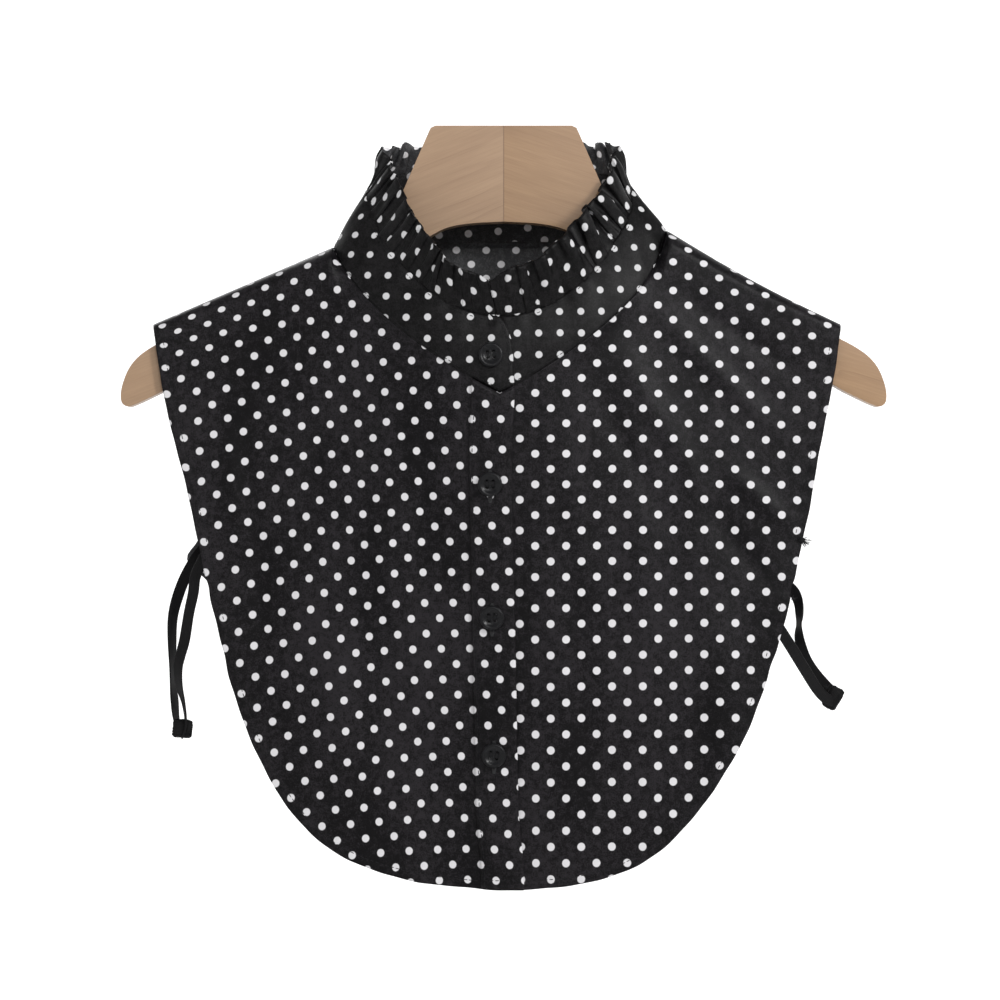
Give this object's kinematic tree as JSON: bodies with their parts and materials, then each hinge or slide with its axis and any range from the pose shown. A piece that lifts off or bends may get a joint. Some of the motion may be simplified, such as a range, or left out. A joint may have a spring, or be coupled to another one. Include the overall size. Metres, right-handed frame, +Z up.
{
  "type": "detachable shirt collar on a wooden hanger",
  "caption": "Sleeveless bib collar with a ruffled stand, buttoned placket and elastic side tapes, held open on a plain wooden hanger.",
  "frame": {"origin": "middle of the top edge of the hanger's neck plate, where its hook is screwed in", "axes": "the front faces -Y, the wearer's right side is at -X, +Z is up"},
  "size_m": [0.4042, 0.0799, 0.402],
  "materials": {
    "cloth": "black cotton with small white dots",
    "buttons": "black, dished, half gloss",
    "tape": "black woven elastic",
    "wood": "pale, fine sanded, thin clear coat"
  },
  "bodies": {
    "root": {"front_right": "cloth", "front_left": "cloth", "placket": "cloth", "back": "cloth", "stand": "cloth", "ruffle": "cloth", "button_1": "buttons", "button_2": "buttons", "button_3": "buttons", "button_4": "buttons", "side_tape_right": "tape", "side_tape_left": "tape", "hanger_right": "wood", "hanger_left": "wood"}
  },
  "joints": []
}
